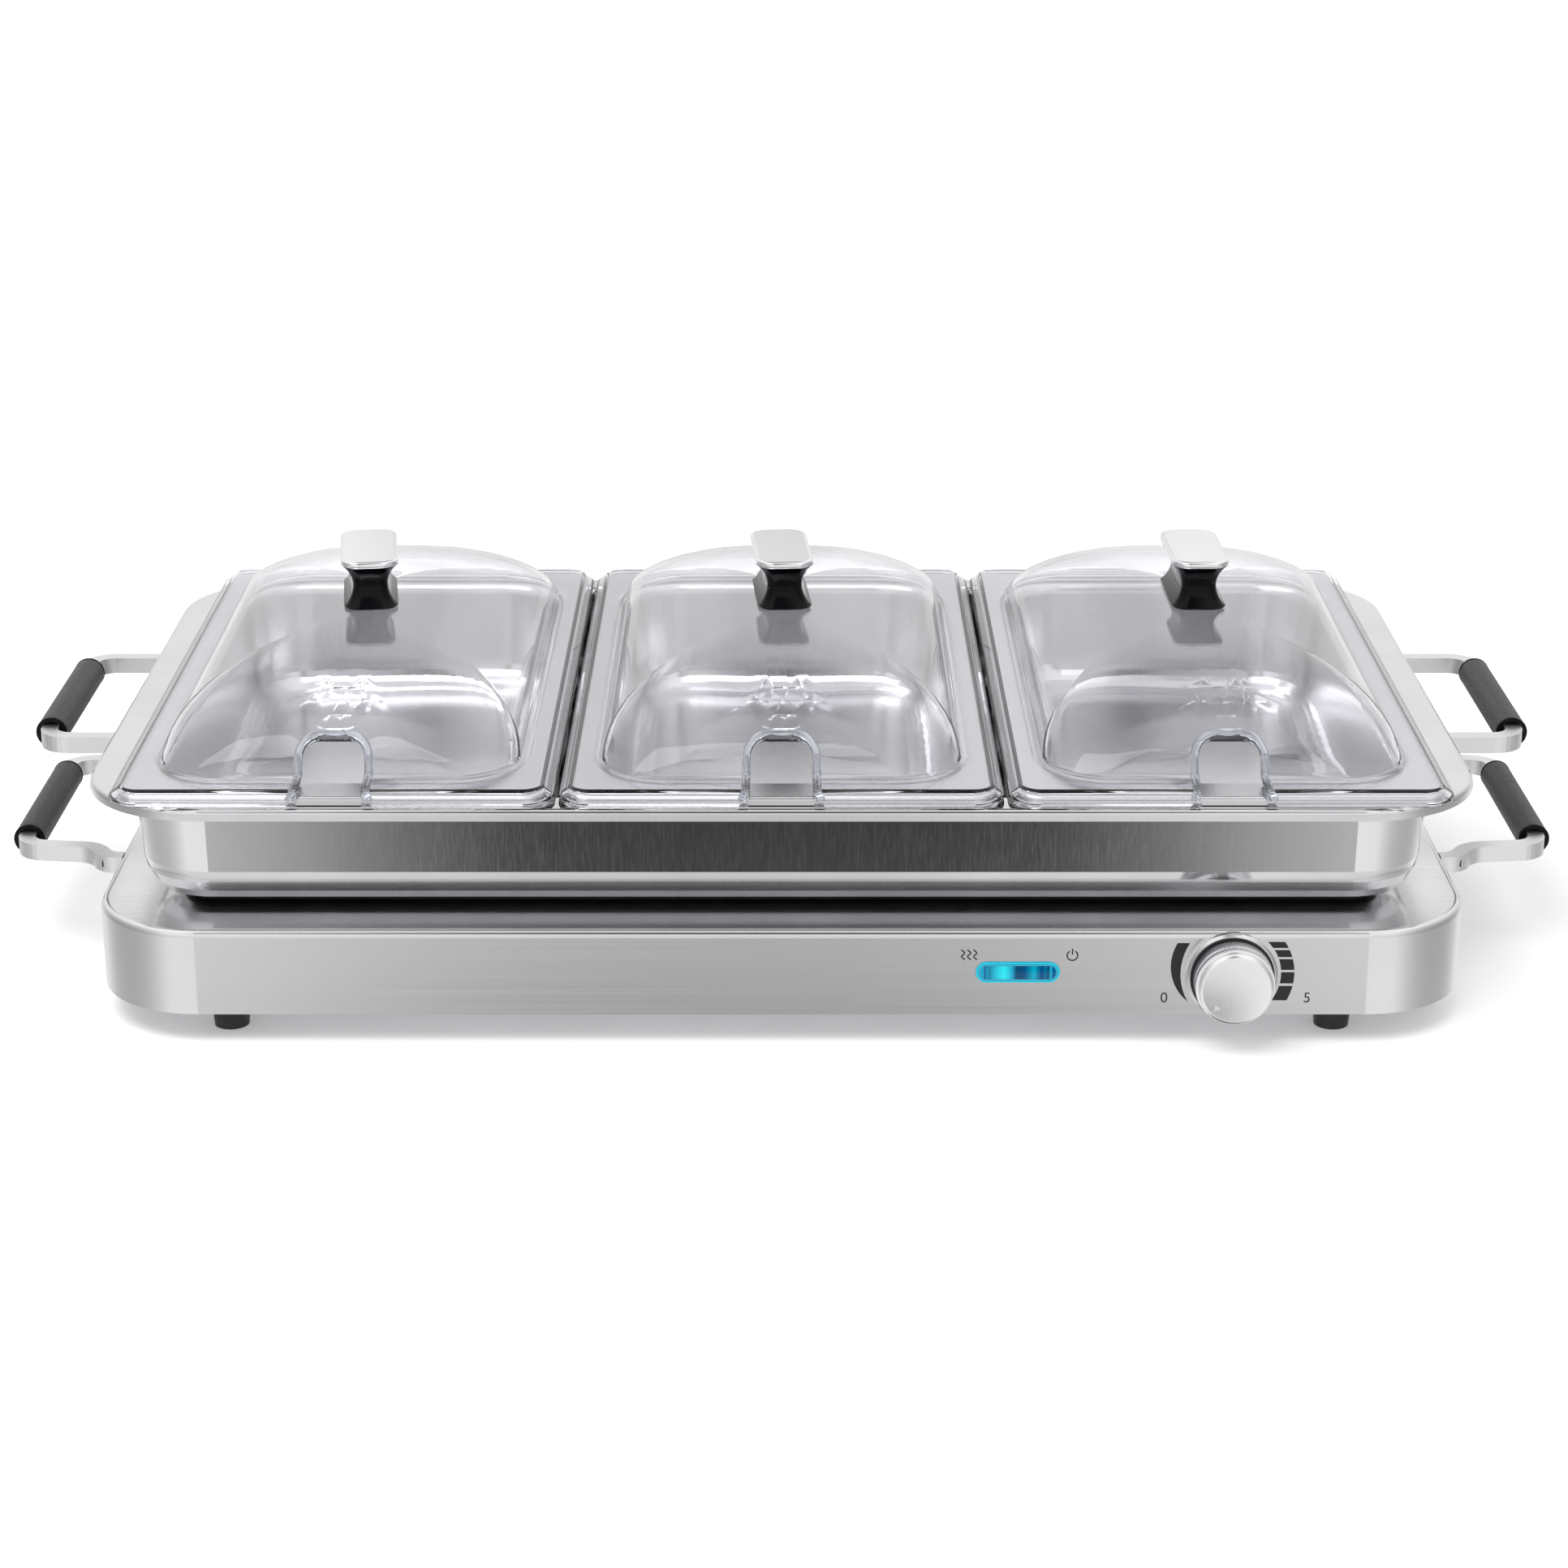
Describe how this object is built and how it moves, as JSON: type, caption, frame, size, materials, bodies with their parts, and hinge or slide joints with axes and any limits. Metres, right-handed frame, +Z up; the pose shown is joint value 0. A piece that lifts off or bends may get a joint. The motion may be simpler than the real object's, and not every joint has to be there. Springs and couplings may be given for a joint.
{
  "type": "buffet server",
  "caption": "Electric buffet server: a steel warming base with a dial, a lift-off tray frame with carry handles, food pans and clear domed lids with spoon notches.",
  "frame": {"origin": "on the floor, under the centre of the server's box", "axes": "+X along the front to the right, +Y to the back, +Z up"},
  "size_m": [0.6584, 0.3408, 0.1618],
  "materials": {
    "brushed_steel": "fine straight brushing, satin",
    "plain_steel": "plain rolled sheet",
    "zinc_steel": "bright zinc",
    "foot_rubber": "matte moulded rubber",
    "aluminium_plate": "rolled sheet",
    "element_sheath": "dull heat-toned tube",
    "mineral_wool": "matted wool",
    "cream_ceramic": "unglazed ceramic",
    "brass_fuse": "plain",
    "lead_insulation": "silicone sleeve",
    "dial_silver": "fine satin silver",
    "cyan_lens": "clear lens, lit from behind",
    "white_plastic": "moulded",
    "amber_glass": "small lamp",
    "blue_glass": "small lamp",
    "handle_steel": "satin drawn bar",
    "grip_black": "satin moulded sleeve",
    "knob_black": "high gloss",
    "cap_chrome": "polished plate",
    "clear_lid": "clear moulded plastic, polished",
    "panel_black": "printed marks on the panel"
  },
  "bodies": {
    "base": {"base_housing": "brushed_steel", "bottom_cover": "plain_steel", "cover_posts": "plain_steel", "heat_shield": "plain_steel", "heater_clamps": "plain_steel", "cover_screws": "zinc_steel", "foot_fasteners": "zinc_steel", "base_handle_screws": "zinc_steel", "thermostat_nut": "zinc_steel", "foot_front_left": "foot_rubber", "foot_front_right": "foot_rubber", "foot_rear_left": "foot_rubber", "foot_rear_right": "foot_rubber", "cord_gland": "foot_rubber", "heater_plate": "aluminium_plate", "heater_tube": "element_sheath", "insulation_pad": "mineral_wool", "thermostat_body": "cream_ceramic", "terminal_block": "cream_ceramic", "thermal_fuse": "brass_fuse", "inner_wiring": "lead_insulation", "knob_bezel": "dial_silver", "indicator_lens": "cyan_lens", "lamp_holder": "white_plastic", "heat_lamp": "amber_glass", "power_lamp": "blue_glass", "base_handle_left": "handle_steel", "base_handle_right": "handle_steel", "base_grip_left": "grip_black", "base_grip_right": "grip_black"},
    "dial": {"control_knob": "dial_silver", "thermostat_shaft": "zinc_steel"},
    "tray_frame": {"frame_pan": "brushed_steel", "frame_handle_left": "handle_steel", "frame_handle_right": "handle_steel", "frame_grip_left": "grip_black", "frame_grip_right": "grip_black", "frame_handle_screws": "zinc_steel"},
    "pan_left": {"food_pan_left": "brushed_steel"},
    "pan_center": {"food_pan_center": "brushed_steel"},
    "pan_right": {"food_pan_right": "brushed_steel"},
    "lid_left": {"lid_left": "clear_lid", "lid_knob_left": "knob_black", "lid_cap_left": "cap_chrome", "lid_screw_left": "zinc_steel"},
    "lid_center": {"lid_center": "clear_lid", "lid_knob_center": "knob_black", "lid_cap_center": "cap_chrome", "lid_screw_center": "zinc_steel"},
    "lid_right": {"lid_right": "clear_lid", "lid_knob_right": "knob_black", "lid_cap_right": "cap_chrome", "lid_screw_right": "zinc_steel"}
  },
  "joints": [
    {"name": "dial_turn", "type": "hinge", "parent": "base", "child": "dial", "pos_m": [0.179, -0.15365, 0.0295], "axis": [0, 1, 0], "range_deg": [0, 270]},
    {"name": "frame_lift", "type": "slide", "parent": "base", "child": "tray_frame", "axis": [0, 0, 1], "range_m": [0, 0.08]},
    {"name": "pan_left_lift", "type": "slide", "parent": "tray_frame", "child": "pan_left", "axis": [0, 0, 1], "range_m": [0, 0.06]},
    {"name": "pan_center_lift", "type": "slide", "parent": "tray_frame", "child": "pan_center", "axis": [0, 0, 1], "range_m": [0, 0.06]},
    {"name": "pan_right_lift", "type": "slide", "parent": "tray_frame", "child": "pan_right", "axis": [0, 0, 1], "range_m": [0, 0.06]},
    {"name": "lid_left_lift", "type": "slide", "parent": "pan_left", "child": "lid_left", "axis": [0, 0, 1], "range_m": [0, 0.05]},
    {"name": "lid_center_lift", "type": "slide", "parent": "pan_center", "child": "lid_center", "axis": [0, 0, 1], "range_m": [0, 0.05]},
    {"name": "lid_right_lift", "type": "slide", "parent": "pan_right", "child": "lid_right", "axis": [0, 0, 1], "range_m": [0, 0.05]}
  ]
}
